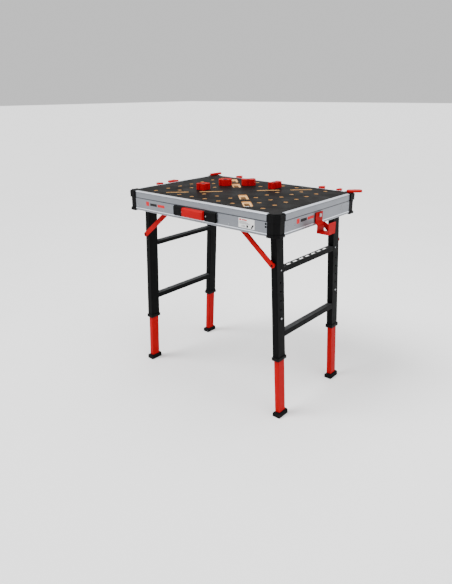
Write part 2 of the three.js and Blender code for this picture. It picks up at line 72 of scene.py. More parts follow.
# ------------------------------------------------------------------ node material helpers
class Shader:
    """One procedural material: a principled shader with a few layered textures."""

    def __init__(self, name, roughness, metallic=0.0, specular=0.5):
        self.material = bpy.data.materials.new(name)
        self.material.use_nodes = True
        self.tree = self.material.node_tree
        self.bsdf = self.tree.nodes["Principled BSDF"]
        self.bsdf.inputs["Roughness"].default_value = roughness
        self.bsdf.inputs["Metallic"].default_value = metallic
        self.bsdf.inputs["Specular IOR Level"].default_value = specular
        self.coordinates = self.node("ShaderNodeTexCoord").outputs["Object"]

    def node(self, kind, **values):
        made = self.tree.nodes.new(kind)
        for key, value in values.items():
            if key in made.inputs:
                made.inputs[key].default_value = value
            else:
                setattr(made, key, value)
        return made

    def link(self, output, target):
        self.tree.links.new(output, target)

    def stretched(self, scale):
        """Object coordinates scaled by a vector, for lines along one axis."""
        mapping = self.node("ShaderNodeMapping")
        mapping.inputs["Scale"].default_value = scale
        self.link(self.coordinates, mapping.inputs["Vector"])
        return mapping.outputs["Vector"]

    def noise(self, scale, detail=3.0, vector=None):
        made = self.node("ShaderNodeTexNoise")
        made.inputs["Scale"].default_value = scale
        made.inputs["Detail"].default_value = detail
        self.link(vector or self.coordinates, made.inputs["Vector"])
        return made.outputs["Fac"]

    def ramp(self, value, low, high, start=0.0, end=1.0):
        made = self.node("ShaderNodeMapRange")
        for key, number in zip(("From Min", "From Max", "To Min", "To Max"), (low, high, start, end)):
            made.inputs[key].default_value = number
        self.link(value, made.inputs["Value"])
        return made.outputs["Result"]

    def blend(self, factor, first, second):
        made = self.node("ShaderNodeMix", data_type="RGBA")
        for socket, colour in ((made.inputs[6], first), (made.inputs[7], second)):
            if isinstance(colour, tuple):
                socket.default_value = (*colour, 1.0)
            else:
                self.link(colour, socket)
        self.link(factor, made.inputs[0])
        return made.outputs[2]

    def calculated(self, operation, first, second):
        made = self.node("ShaderNodeMath", operation=operation)
        for socket, value in zip(made.inputs, (first, second)):
            if isinstance(value, (int, float)):
                socket.default_value = value
            else:
                self.link(value, socket)
        return made.outputs[0]

    def times(self, first, second):
        return self.calculated("MULTIPLY", first, second)

    def facing_up(self):
        """1 on faces that look straight up, 0 on upright and downward ones."""
        geometry = self.node("ShaderNodeNewGeometry")
        parts = self.node("ShaderNodeSeparateXYZ")
        self.link(geometry.outputs["Normal"], parts.inputs["Vector"])
        return self.ramp(parts.outputs["Z"], 0.6, 0.98)

    def edges(self, radius):
        """1 on convex and concave edges within `radius`, 0 on flat faces."""
        bevel = self.node("ShaderNodeBevel", samples=4)
        bevel.inputs["Radius"].default_value = radius
        geometry = self.node("ShaderNodeNewGeometry")
        dot = self.node("ShaderNodeVectorMath", operation="DOT_PRODUCT")
        self.link(bevel.outputs["Normal"], dot.inputs[0])
        self.link(geometry.outputs["Normal"], dot.inputs[1])
        return self.ramp(dot.outputs["Value"], 0.995, 0.90)

    def finish(self, colour, roughness=None, heights=()):
        """Connects colour, roughness and a chain of (height, distance, strength) bumps."""
        self.link(colour, self.bsdf.inputs["Base Color"])
        if roughness is not None:
            self.link(roughness, self.bsdf.inputs["Roughness"])
        normal = None
        for height, distance, strength in heights:
            bump = self.node("ShaderNodeBump")
            bump.inputs["Distance"].default_value = distance
            bump.inputs["Strength"].default_value = strength
            self.link(height, bump.inputs["Height"])
            if normal is not None:
                self.link(normal, bump.inputs["Normal"])
            normal = bump.outputs["Normal"]
        if normal is not None:
            self.link(normal, self.bsdf.inputs["Normal"])
        return self.material


def powder_coat(name, colour, worn, roughness, dust=None):
    """Baked powder paint: orange-peel skin, slightly lighter worn edges, dust on upward faces."""
    s = Shader(name, roughness, 0.0, 0.035)
    patches = s.ramp(s.noise(9.0), 0.35, 0.7)
    shade = s.blend(patches, colour, tuple(c * 0.86 for c in colour))
    wear = s.times(s.edges(1.6 * MM), s.ramp(s.noise(160.0, 4.0), 0.42, 0.7))
    worn_shade = s.blend(s.times(wear, 0.55), shade, worn)
    if dust:
        settled = s.times(s.facing_up(), s.ramp(s.noise(70.0, 5.0), 0.25, 0.7, 0.55, 1.0))
        worn_shade = s.blend(settled, worn_shade, dust)
    rough = s.ramp(s.noise(35.0, 4.0), 0.3, 0.75, roughness - 0.07, roughness + 0.08)
    peel = s.noise(900.0, 2.0)
    return s.finish(worn_shade, rough, [(peel, 0.12 * MM, 0.35)])


def moulded_plastic(name, colour, worn, roughness, grain=0.5):
    """Injection-moulded plastic: a fine spark-eroded grain and scuffed corners."""
    s = Shader(name, roughness, 0.0, 0.055)
    patches = s.ramp(s.noise(14.0), 0.3, 0.75)
    shade = s.blend(patches, colour, tuple(c * 0.82 for c in colour))
    scuffs = s.times(s.edges(1.2 * MM), s.ramp(s.noise(220.0, 5.0), 0.45, 0.7))
    scuffed = s.blend(s.times(scuffs, 0.5), shade, worn)
    rough = s.ramp(s.noise(60.0, 4.0), 0.3, 0.7, roughness - 0.06, roughness + 0.09)
    pits = s.node("ShaderNodeTexVoronoi", feature="F1")
    pits.inputs["Scale"].default_value = 1500.0
    s.link(s.coordinates, pits.inputs["Vector"])
    return s.finish(scuffed, rough, [(pits.outputs["Distance"], 0.1 * MM, grain)])


def extruded_aluminium(name, along, tone=1.0):
    """Satin anodised extrusion: fine die lines along the rail, soft cloudiness, faint scratches."""
    s = Shader(name, 0.34, 0.92)

    def toned(*colour):
        return tuple(min(1.0, c * tone) for c in colour)

    lines_scale = [900.0, 900.0, 900.0]
    lines_scale[along] = 6.0
    lines = s.noise(1.0, 3.0, s.stretched(lines_scale))
    clouds = s.ramp(s.noise(7.0, 4.0), 0.3, 0.75)
    shade = s.blend(clouds, toned(0.318, 0.338, 0.376), toned(0.262, 0.28, 0.316))
    lined = s.blend(s.ramp(lines, 0.35, 0.65, 0.0, 0.35), shade, toned(0.41, 0.42, 0.445))
    scratch_scale = [40.0, 40.0, 260.0]
    scratch_scale[along] = 3.0
    scratches = s.ramp(s.noise(1.0, 6.0, s.stretched(scratch_scale)), 0.66, 0.72)
    scratched = s.blend(s.times(scratches, 0.25), lined, toned(0.55, 0.56, 0.58))
    rough = s.ramp(lines, 0.3, 0.7, 0.27, 0.42)
    return s.finish(scratched, rough, [(lines, 0.05 * MM, 0.5)])


def film_faced_board():
    """Black phenolic film with a pressed mesh pattern, light dust and rubbed marks."""
    s = Shader("black_film", 0.5, 0.0, 0.035)
    bands = []
    for direction in (1.0, -1.0):
        mapping = s.node("ShaderNodeMapping")
        mapping.inputs["Rotation"].default_value = (0.0, 0.0, direction * math.radians(45.0))
        s.link(s.coordinates, mapping.inputs["Vector"])
        wave = s.node("ShaderNodeTexWave", wave_type="BANDS", wave_profile="SIN")
        wave.inputs["Scale"].default_value = 95.0
        wave.inputs["Distortion"].default_value = 0.6
        s.link(mapping.outputs["Vector"], wave.inputs["Vector"])
        bands.append(wave.outputs["Fac"])
    mesh_pattern = s.calculated("MAXIMUM", *bands)
    dust = s.ramp(s.noise(5.0, 5.0), 0.45, 0.75)
    shade = s.blend(dust, (0.0033, 0.003, 0.0028), (0.0062, 0.0056, 0.0053))
    rubbed = s.ramp(s.noise(1.0, 6.0, s.stretched((14.0, 60.0, 14.0))), 0.62, 0.74)
    marked = s.blend(s.times(rubbed, 0.4), shade, (0.018, 0.018, 0.0195))
    rough = s.ramp(s.noise(12.0, 5.0), 0.3, 0.75, 0.40, 0.58)
    return s.finish(marked, rough, [(mesh_pattern, 0.12 * MM, 0.5), (s.noise(700.0), 0.06 * MM, 0.4)])


def wood_core(top):
    """Cut edge of the board: pale fibre with darker layers, and painted shade darkening the walls lower
    down.
    """
    s = Shader("wood_core", 0.72, 0.0, 0.3)
    layers = s.noise(1.0, 3.0, s.stretched((60.0, 60.0, 900.0)))
    fibres = s.noise(420.0, 6.0)
    shade = s.blend(s.ramp(layers, 0.35, 0.65), (0.58, 0.325, 0.125), (0.45, 0.235, 0.085))
    fibrous = s.blend(s.ramp(fibres, 0.35, 0.7), shade, (0.60, 0.355, 0.145))
    parts = s.node("ShaderNodeSeparateXYZ")
    s.link(s.coordinates, parts.inputs["Vector"])
    # Painted shade: the cut walls turn dark brown from 6 to 10 mm below the top face.
    painted_hole_shade = s.ramp(parts.outputs["Z"], top - 6.0 * MM, top - 10.0 * MM, 0.0, 0.85)
    fibrous = s.blend(painted_hole_shade, fibrous, (0.11, 0.055, 0.024))
    return s.finish(fibrous, s.ramp(fibres, 0.3, 0.7, 0.62, 0.82), [(fibres, 0.25 * MM, 0.6)])


def zinc_plate():
    """Bright zinc plating with soft spangle and small rubbed spots."""
    s = Shader("zinc_plate", 0.36, 1.0)
    spangle = s.node("ShaderNodeTexVoronoi", feature="F1")
    spangle.inputs["Scale"].default_value = 260.0
    s.link(s.coordinates, spangle.inputs["Vector"])
    tone = s.ramp(spangle.outputs["Distance"], 0.1, 0.8)
    shade = s.blend(tone, (0.40, 0.41, 0.42), (0.27, 0.28, 0.295))
    rough = s.ramp(s.noise(90.0, 5.0), 0.3, 0.7, 0.28, 0.46)
    return s.finish(shade, rough, [(s.noise(800.0), 0.05 * MM, 0.4)])


def label_paper():
    """Slightly glossy white sticker paper with faint fibre and handling marks."""
    s = Shader("label_paper", 0.45)
    shade = s.blend(s.ramp(s.noise(60.0, 5.0), 0.3, 0.7), (0.62, 0.62, 0.615), (0.56, 0.56, 0.555))
    return s.finish(shade, s.ramp(s.noise(25.0), 0.3, 0.7, 0.38, 0.55), [(s.noise(600.0), 0.04 * MM, 0.4)])


def printed_ink(name, colour):
    """Screen-printed ink with a slightly uneven cover."""
    s = Shader(name, 0.5, 0.0, 0.15)
    cover = s.ramp(s.noise(500.0, 4.0), 0.3, 0.7)
    shade = s.blend(cover, colour, tuple(min(1.0, c * 1.25 + 0.002) for c in colour))
    return s.finish(shade, s.ramp(s.noise(300.0), 0.3, 0.7, 0.42, 0.6), [(cover, 0.02 * MM, 0.3)])


def studio_surface():
    s = Shader("pale_floor", 0.85)
    shade = s.blend(s.ramp(s.noise(2.0), 0.3, 0.7), (0.90, 0.90, 0.90), (0.885, 0.885, 0.885))
    return s.finish(shade)


RED_PAINT = powder_coat("red_powder_coat", (0.33, 0.0002, 0.0026), (0.42, 0.015, 0.018), 0.38)
BLACK_PAINT = powder_coat(
    "black_powder_coat", (0.0022, 0.0023, 0.0026), (0.028, 0.028, 0.03), 0.46, (0.050, 0.051, 0.053),
)
BLACK_PLASTIC = moulded_plastic("black_plastic", (0.0026, 0.0027, 0.003), (0.028, 0.028, 0.03), 0.5)
RED_PLASTIC = moulded_plastic("red_plastic", (0.34, 0.0002, 0.0028), (0.42, 0.02, 0.022), 0.34)
BLACK_RUBBER = moulded_plastic("black_rubber", (0.004, 0.004, 0.0043), (0.03, 0.03, 0.03), 0.68, 0.8)
ALUMINIUM_X = extruded_aluminium("aluminium_long_rail", 0, 0.62)
ALUMINIUM_Y = extruded_aluminium("aluminium_short_rail", 1, 0.66)
# Lighter copies of the extrusion material: painted highlight for the rail lips and toes.
PAINTED_HIGHLIGHT_X = extruded_aluminium("painted_highlight_lip_long", 0, 2.6)
PAINTED_HIGHLIGHT_Y = extruded_aluminium("painted_highlight_lip_short", 1, 2.6)
# Dark copies of the extrusion material: painted shade for the rail grooves.
PAINTED_GROOVE_SHADE_X = extruded_aluminium("painted_groove_shade_long", 0, 0.22)
PAINTED_GROOVE_SHADE_Y = extruded_aluminium("painted_groove_shade_short", 1, 0.22)
FILM = film_faced_board()
WOOD = wood_core(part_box("worktop")[1].z)
ZINC = zinc_plate()
PAPER = label_paper()
INK_RED = printed_ink("ink_red", (0.40, 0.004, 0.008))
INK_DARK = printed_ink("ink_dark", (0.006, 0.006, 0.007))
INK_GREY = printed_ink("ink_grey", (0.13, 0.13, 0.135))


# ------------------------------------------------------------------ mesh helpers
def new_object(name, mesh, *materials):
    made = bpy.data.objects.new(name, mesh)
    bpy.context.collection.objects.link(made)
    mesh.materials.clear()
    for material in materials:
        mesh.materials.append(material)
    return made


def object_from(name, bm, *materials):
    mesh = bpy.data.meshes.new(name)
    bm.to_mesh(mesh)
    bm.free()
    return new_object(name, mesh, *materials)


def shade_by_angle(obj, degrees=35.0):
    for polygon in obj.data.polygons:
        polygon.use_smooth = True
    obj.data.set_sharp_from_angle(angle=math.radians(degrees))


def apply_modifiers(obj):
    evaluated = obj.evaluated_get(bpy.context.evaluated_depsgraph_get())
    mesh = bpy.data.meshes.new_from_object(evaluated)
    old = obj.data
    obj.modifiers.clear()
    obj.data = mesh
    bpy.data.meshes.remove(old)


def place(obj, body, node=None, angle=35.0):
    shade_by_angle(obj, angle)
    flatten = obj.modifiers.new("flat_faces", "WEIGHTED_NORMAL")
    flatten.keep_sharp = True
    apply_modifiers(obj)
    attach(obj, body)
    if node:
        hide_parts(node)
    return obj


def with_whole_flats(mesh):
    """A bmesh of the mesh with its split vertices joined and its flat areas made whole."""
    bm = bmesh.new()
    bm.from_mesh(mesh)
    bmesh.ops.remove_doubles(bm, verts=bm.verts, dist=SAME_PLACE)
    bmesh.ops.dissolve_limit(bm, angle_limit=math.radians(0.5), verts=bm.verts, edges=bm.edges)
    return bm


def clean_copy(node):
    return with_whole_flats(frame["nodes"][node].data)


def body_of(node):
    return frame["nodes"][node]["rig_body"]


def soften(obj, width, segments=2, angle=40.0):
    """Rounds every edge sharper than `angle` and applies the result."""
    bevel = obj.modifiers.new("round_edges", "BEVEL")
    bevel.width = width
    bevel.segments = segments
    bevel.limit_method = "ANGLE"
    bevel.angle_limit = math.radians(angle)
    bevel.use_clamp_overlap = True
    apply_modifiers(obj)


def refined(node, material, width, segments=2, angle=40.0):
    """A CAD node again, with rounded edges and a full material."""
    obj = object_from(node + "_skin", clean_copy(node), material)
    soften(obj, width, segments, angle)
    return place(obj, body_of(node), node)


def tube_skin(node, material, radius, wall):
    """A square tube again: long outside corners rounded by `radius`, inside ones by that less the wall."""
    bm = clean_copy(node)
    longer_than, sharper_than = 90 * MM, 0.7
    long_edges = [
        e for e in bm.edges
        if e.calc_length() > longer_than and e.is_manifold and e.calc_face_angle(0) > sharper_than
    ]
    for edges, offset in (
        ([e for e in long_edges if e.is_convex], radius),
        ([e for e in long_edges if not e.is_convex], radius - wall),
    ):
        if edges:
            bmesh.ops.bevel(
                bm, geom=edges, offset=offset, offset_type="OFFSET", segments=4, profile=0.5,
                affect="EDGES", clamp_overlap=False,
            )
    obj = object_from(node + "_skin", bm, material)
    soften(obj, 0.3 * MM, 2)
    return place(obj, body_of(node), node)


def wall_between(bm, lower, upper):
    """Side faces from one closed loop of vertices up to the next."""
    for k in range(len(lower)):
        following = (k + 1) % len(lower)
        bm.faces.new((lower[k], lower[following], upper[following], upper[k]))


def closed_prism(bm, low, high):
    bm.faces.new(list(reversed(low)))
    bm.faces.new(high)
    wall_between(bm, low, high)


def prism_mesh(points, z0, z1):
    """A closed prism from outline points (x, y) in metres, listed counter-clockwise."""
    bm = bmesh.new()
    low = [bm.verts.new((x, y, z0)) for x, y in points]
    high = [bm.verts.new((x, y, z1)) for x, y in points]
    closed_prism(bm, low, high)
    return bm


def circle(radius, count, centre=(0.0, 0.0)):
    turns = [2 * math.pi * k / count for k in range(count)]
    return [(centre[0] + radius * math.cos(turn), centre[1] + radius * math.sin(turn)) for turn in turns]


def joined(parts):
    """Several bmeshes as one; the parts are freed."""
    whole = bmesh.new()
    for part in parts:
        mesh = bpy.data.meshes.new("part")
        part.to_mesh(mesh)
        part.free()
        whole.from_mesh(mesh)
        bpy.data.meshes.remove(mesh)
    return whole


def cut_by(obj, tools):
    """Takes each tool object's shape out of the object and removes the tools."""
    for tool in tools:
        change = obj.modifiers.new("shape", "BOOLEAN")
        change.operation = "DIFFERENCE"
        change.solver = "EXACT"
        change.object = tool
    apply_modifiers(obj)
    for tool in tools:
        bpy.data.objects.remove(tool)


def merge_flat(obj):
    bm = with_whole_flats(obj.data)
    bm.to_mesh(obj.data)
    bm.free()


def towards(normal):
    """Rotation that takes +Z to `normal`, with X kept level where it can be."""
    return Vector(normal).to_track_quat("Z", "Y").to_matrix().to_4x4()


def lathe(rings, count=28):
    """Closed body of revolution about Z from (radius, z) rings; a radius may be a function of the angle."""
    bm = bmesh.new()
    loops = []
    for radius, z in rings:
        loop = []
        for k in range(count):
            angle = 2 * math.pi * k / count
            r = radius(angle) if callable(radius) else radius
            loop.append(bm.verts.new((r * math.cos(angle), r * math.sin(angle), z)))
        loops.append(loop)
    for lower, upper in zip(loops, loops[1:]):
        wall_between(bm, lower, upper)
    bm.faces.new(list(reversed(loops[0])))
    bm.faces.new(loops[-1])
    return bm


def hexagon(across):
    """Radius of a hexagon at an angle, as a lathe ring."""
    half = across / 2
    return lambda angle: half / math.cos((angle % (math.pi / 3)) - math.pi / 6)


def set_down(bm, at, normal):
    bmesh.ops.transform(bm, matrix=Matrix.Translation(at) @ towards(normal), verts=bm.verts)
    return bm


def socket_screw(radius, head):
    """Button-head screw with a hexagon socket."""
    socket = hexagon(radius * 0.95)
    return lathe([
        (radius * 0.96, -0.4 * MM), (radius, 0.0), (radius, head * 0.3), (radius * 0.93, head * 0.62),
        (radius * 0.78, head * 0.88), (radius * 0.62, head), (socket, head), (socket, head * 0.35),
    ])


def dome(radius, head):
    """Rivet or snap head."""
    return lathe([
        (radius, -0.4 * MM), (radius, head * 0.15), (radius * 0.93, head * 0.5),
        (radius * 0.75, head * 0.78), (radius * 0.45, head * 0.95), (radius * 0.15, head),
    ])


def hex_nut(across, height, bore):
    """Hexagon nut with a chamfered rim and the thread's end standing a little proud."""
    return lathe([
        (hexagon(across), -0.2 * MM), (hexagon(across), height * 0.85), (across * 0.47, height),
        (bore + 0.4 * MM, height), (bore + 0.2 * MM, height * 0.8),
        (bore, height * 1.25), (bore * 0.8, height * 1.35),
    ], 36)


def fasteners(name, made, material, body):
    """Several fasteners as one piece: `made` lists (bmesh, place, direction)."""
    obj = object_from(name, joined([set_down(bm, at, normal) for bm, at, normal in made]), material)
    return place(obj, body, angle=40.0)


# ------------------------------------------------------------------ places read from the frame
BOARD_LOW, BOARD_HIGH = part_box("worktop")
CENTRE = Vector(((BOARD_LOW.x + BOARD_HIGH.x) / 2, (BOARD_LOW.y + BOARD_HIGH.y) / 2, BOARD_HIGH.z))
HALF_LENGTH = 440.0
HALF_WIDTH = 307.0
PITCH = 80.0
HOLE_RADIUS = 10.0
BOARD_CHAMFER = 10.6
DIAGONAL_SLOTS = ((54, 138), (166, 248), (-138, -54), (-248, -166))
POCKETS = ((109, -105), (216, -211), (-109, 105), (-216, 211))
POCKET_REBATE = 5.0
CUT_PAST = 10 * MM


def spot(x, y, z=0.0):
    """Millimetres from the middle of the worktop's upper face."""
    return CENTRE + Vector((x, y, z)) * MM


# ------------------------------------------------------------------ worktop
def turned(points, angle, centre):
    """Outline points turned by `angle` and moved to `centre`."""
    cos, sin = math.cos(angle), math.sin(angle)
    return [(centre[0] + x * cos - y * sin, centre[1] + x * sin + y * cos) for x, y in points]


def slot_outline(half, radius, angle, centre):
    points = []
    for side in (1, -1):
        for k in range(13):
            turn = -math.pi / 2 + math.pi * k / 12
            points.append((side * (half + radius * math.cos(turn)), side * radius * math.sin(turn)))
    return turned(points, angle, centre)


def block_outline(half_x, half_y, corner, angle, centre):
    """Rounded rectangle as outline points, turned by `angle`."""
    points = []
    for quarter, (sx, sy) in enumerate(((1, 1), (-1, 1), (-1, -1), (1, -1))):
        for k in range(5):
            turn = (quarter + k / 4) * math.pi / 2
            x = sx * (half_x - corner) + corner * math.cos(turn)
            y = sy * (half_y - corner) + corner * math.sin(turn)
            points.append((x, y))
    return turned(points, angle, centre)


def on_board(points):
    return [(CENTRE.x + x * MM, CENTRE.y + y * MM) for x, y in points]


def build_worktop():
    low, high = BOARD_LOW.z, BOARD_HIGH.z
    half_x, half_y = (BOARD_HIGH.x - BOARD_LOW.x) / 2 / MM, (BOARD_HIGH.y - BOARD_LOW.y) / 2 / MM
    c = BOARD_CHAMFER
    outline = [
        (half_x - c, -half_y), (half_x, -half_y + c), (half_x, half_y - c), (half_x - c, half_y),
        (-half_x + c, half_y), (-half_x, half_y - c), (-half_x, -half_y + c), (-half_x + c, -half_y),
    ]
    board = object_from("worktop_board", prism_mesh(on_board(outline), low, high), FILM, WOOD)
    through = []
    rebates = []
    for i in range(-4, 5):
        for j in range(-3, 4):
            in_middle = abs(i) <= 1 and abs(j) <= 1
            on_diagonal = abs(i) == abs(j) and abs(i) >= 2
            if not in_middle and not on_diagonal:
                through.append(circle(HOLE_RADIUS, 28, (i * PITCH, j * PITCH)))
    for start, end in DIAGONAL_SLOTS:
        middle = (start + end) / 2
        half = (end - start) * math.sqrt(2) / 2 - HOLE_RADIUS * math.sqrt(2)
        through.append(slot_outline(half, HOLE_RADIUS, math.pi / 4, (middle, middle)))
    for x, y in POCKETS:
        through.append(block_outline(35.0, 12.0, 6.0, -math.pi / 4, (x, y)))
        rebates.append(block_outline(54.0, 20.0, 9.0, -math.pi / 4, (x, y)))
    step = high - POCKET_REBATE * MM
    holes = [prism_mesh(on_board(points), low - CUT_PAST, high + CUT_PAST) for points in through]
    recesses = [prism_mesh(on_board(points), step, high + CUT_PAST) for points in rebates]
    cut_by(board, [object_from("holes", joined(holes)), object_from("recesses", joined(recesses))])
    merge_flat(board)
    soften(board, 0.6 * MM, 2, 50.0)
    for polygon in board.data.polygons:
        z = polygon.center.z
        outside = z > high - 0.7 * MM or z < low + 0.7 * MM
        polygon.material_index = 0 if outside and abs(polygon.normal.z) > 0.3 else 1
    place(board, "table_frame", "worktop")


build_worktop()


# ------------------------------------------------------------------ rails, caps and handle
RAIL_LIP_DEPTH = 3.6
RAIL_GROOVE_DEPTHS = (29.0, 33.4)
RAIL_TOE_DEPTH = 79.2


def build_rail(node, body_metal, bright, groove):
    """A rail with painted highlight making its lips and upward toe faces brighter and painted shade making
    its groove darker than the anodised faces.
    """
    obj = refined(node, body_metal, 0.4 * MM, 2)
    obj.data.materials.append(bright)
    obj.data.materials.append(groove)
    for polygon in obj.data.polygons:
        depth = (CENTRE.z - polygon.center.z) / MM
        # Lip tops and upward toe faces get the painted highlight material.
        if depth < RAIL_LIP_DEPTH or (depth > RAIL_TOE_DEPTH and polygon.normal.z > 0.2):
            polygon.material_index = 1
        # Faces inside the groove get the painted shade material.
        elif RAIL_GROOVE_DEPTHS[0] < depth < RAIL_GROOVE_DEPTHS[1]:
            polygon.material_index = 2


for end in ENDS:
    build_rail(end + "_rail", ALUMINIUM_X, PAINTED_HIGHLIGHT_X, PAINTED_GROOVE_SHADE_X)
for side in SIDES:
    build_rail(side + "_rail", ALUMINIUM_Y, PAINTED_HIGHLIGHT_Y, PAINTED_GROOVE_SHADE_Y)
    for end in ENDS:
        refined(end + "_" + side + "_corner_cap", BLACK_PLASTIC, 1.3 * MM, 3, 30.0)
    refined(side + "_handle_mount", BLACK_PLASTIC, 1.5 * MM, 3)
refined("handle_grip", RED_PLASTIC, 3.6 * MM, 4, 25.0)


# ------------------------------------------------------------------ leg frames
def build_foot(node):
    """The CAD foot with rounded edges and tread grooves across its sole."""
    low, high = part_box(node)
    obj = object_from(node + "_skin", clean_copy(node), BLACK_RUBBER)
    grooves = []
    x0, x1 = low.x - CUT_PAST, high.x + CUT_PAST
    half, depth, count = 1.4 * MM, 1.6 * MM, 7
    for k in range(count):
        y = low.y + (high.y - low.y) * (k + 1) / (count + 1)
        points = [(x0, y - half), (x1, y - half), (x1, y + half), (x0, y + half)]
        grooves.append(prism_mesh(points, -CUT_PAST, depth))
    cut_by(obj, [object_from("tread", joined(grooves))])
    merge_flat(obj)
    soften(obj, 1.0 * MM, 3, 40.0)
    place(obj, body_of(node), node)


for side, s in SIDES.items():
    tube_skin(side + "_lower_crossbar", BLACK_PAINT, 2.2 * MM, 1.6 * MM)
    refined(side + "_upper_crossbar", BLACK_PAINT, 0.6 * MM, 2)
    refined(side + "_pivot_rod", ZINC, 0.6 * MM, 2)
    for end, e in ENDS.items():
        corner = end + "_" + side + "_"
        tube_skin(corner + "outer_leg", BLACK_PAINT, 2.8 * MM, 1.8 * MM)
        tube_skin(corner + "inner_leg", RED_PAINT, 2.4 * MM, 1.8 * MM)
        refined(corner + "snap_button", ZINC, 0.7 * MM, 2)
        refined(corner + "collar", BLACK_PLASTIC, 1.0 * MM, 2)
        build_foot(corner + "foot")
        refined(corner + "brace", RED_PAINT, 0.5 * MM, 2)
        refined(corner + "hinge_bracket", ZINC, 0.5 * MM, 2)


# ------------------------------------------------------------------ tool holder, stops and levers
refined("tool_holder", RED_PAINT, 0.8 * MM, 2, 30.0)
refined("tool_holder_bolt", ZINC, 0.8 * MM, 2)
for stop in ("left_front_stop", "left_back_stop", "back_left_stop", "back_middle_stop", "back_right_stop"):
    refined(stop, RED_PAINT, 1.2 * MM, 3)
for side in SIDES:
    refined(side + "_corner_lever", RED_PLASTIC, 2.2 * MM, 3)


# ------------------------------------------------------------------ clamping jaws
def round_corners(bm, radius):
    """Rounds the upright edges of a prism."""
    upright = [
        e for e in bm.edges
        if abs(e.verts[0].co.z - e.verts[1].co.z) > 0.9 * e.calc_length() and e.calc_face_angle(0) > 0.5
    ]
    bmesh.ops.bevel(
        bm, geom=upright, offset=radius, offset_type="OFFSET", segments=4, profile=0.5,
        affect="EDGES", clamp_overlap=True,
    )
    return bm


def shrunk(outline, amount):
    """Outline moved inwards by about `amount`, towards the middle of its box."""
    xs, ys = [x for x, _ in outline], [y for _, y in outline]
    mx, my = (min(xs) + max(xs)) / 2, (min(ys) + max(ys)) / 2
    fx = 1 - 2 * amount / (max(xs) - min(xs))
    fy = 1 - 2 * amount / (max(ys) - min(ys))
    return [(mx + (x - mx) * fx, my + (y - my) * fy) for x, y in outline]


def build_jaw(node, column, row, outline, corner, grooves):
    """A moulded jaw: rounded body, sunk top panel, pressure grooves and a peg with its screw."""
    low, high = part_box(node)
    base = CENTRE.z + 0.3 * MM

    def shape(points, z0, z1, radius=0.0):
        bm = prism_mesh(on_board([(column * PITCH + x, row * PITCH + y) for x, y in points]), z0, z1)
        return round_corners(bm, radius) if radius else bm

    body = object_from(node + "_moulding", shape(outline, base, high.z, corner * MM), RED_PLASTIC)
    panel_floor = high.z - 2.0 * MM
    panel = shape(shrunk(outline, 5.0), panel_floor, high.z + CUT_PAST, corner * 0.7 * MM)
    tools = [object_from("panel", panel)]
    for at, half in grooves:
        groove = shape(circle(half, 16, at), base - CUT_PAST, high.z + CUT_PAST)
        tools.append(object_from("groove", groove))
    cut_by(body, tools)
    merge_flat(body)
    soften(body, 1.1 * MM, 3, 40.0)
    place(body, node + "_body", node, 40.0)
    middle = spot(column * PITCH, row * PITCH)
    top = panel_floor - CENTRE.z
    tip = low.z - CENTRE.z
    peg = lathe([
        (8.0 * MM, tip), (9.2 * MM, tip + 1.5 * MM), (9.2 * MM, -1.0 * MM),
        (8.6 * MM, 0.0), (8.6 * MM, 0.35 * MM),
    ])
    socket = hexagon(6.4 * MM)
    cap = lathe([
        (9.5 * MM, top - 0.3 * MM), (9.5 * MM, top + 1.0 * MM), (9.0 * MM, top + 1.5 * MM),
        (5.0 * MM, top + 1.5 * MM), (socket, top + 1.5 * MM), (socket, top - 0.2 * MM),
    ])
    for bm in (peg, cap):
        bmesh.ops.transform(bm, matrix=Matrix.Translation(middle), verts=bm.verts)
    peg_and_screw = object_from(node + "_peg_and_screw", joined([peg, cap]), BLACK_PAINT)
    place(peg_and_screw, node + "_body")


build_jaw(
    "square_jaw", -2, -1, [(-26, -20), (-20, -26), (26, -26), (26, 20), (20, 26), (-26, 26)], 3.0,
    [((26.0, 0.0), 4.0), ((-26.0, 0.0), 4.0), ((0.0, -26.0), 4.0)],
)
build_jaw(
    "round_jaw", -2, 1, circle(33.0, 56), 0.0,
    [((0.0, -33.5), 4.5), ((33.5, 0.0), 4.5), ((-33.5, 0.0), 4.5)],
)
build_jaw(
    "vee_jaw", -1, 2, [
        (-11, -36), (3, -43), (22, -34), (24, -27), (31, -26), (46, -7), (44, 9),
        (23, 30), (11, 30), (1, 5), (-5, 0), (-25, -5), (-27, -16),
    ],
    2.0, [((39.5, -17.0), 3.0), ((-4.5, -40.5), 3.0)],
)
build_jaw(
    "wide_jaw", 1, 2, [(-9, -33), (17, -33), (20, -27), (20, 39), (-9, 39)], 3.0,
    [((20.5, -9.0), 3.2), ((20.5, 18.0), 3.2), ((4.0, -33.5), 3.4)],
)

# ------------------------------------------------------------------ fasteners
LEG_LINE = {"depth": 97.0, "x": 381.7, "splay": math.radians(3.15)}
LEG_ROW = 224.3
LEG_HALF_WIDTH = 15.0
FRAME_DROP = {"left": 27.0, "right": 0.0}
CROSSBAR_RIVET_DEPTH = 251.0
HINGE_NUT_ROW = 254.4
BRACE_RIVET_ROW = 265.2
BRACE_CATCH_X = 197.0
HANDLE_MIDDLE = 3.0
HANDLE_SCREW_REACH = 72.0
HANDLE_MOUNT_DEPTH = 9.3
RAIL_WALL = 3.5
FACE_INSET = 0.5
FACE_Y = HALF_WIDTH - FACE_INSET
FACE_X = HALF_LENGTH - FACE_INSET


def on_leg(side, depth, y, out):
    """Place and direction on the outward X face of a splayed leg, `out` from the tube's axis."""
    s = SIDES[side]
    splay = LEG_LINE["splay"]
    normal = Vector((s * math.cos(splay), 0.0, math.sin(splay)))
    x = s * (LEG_LINE["x"] + (depth - LEG_LINE["depth"]) * math.tan(splay))
    return spot(x, y, -depth) + normal * out * MM, normal


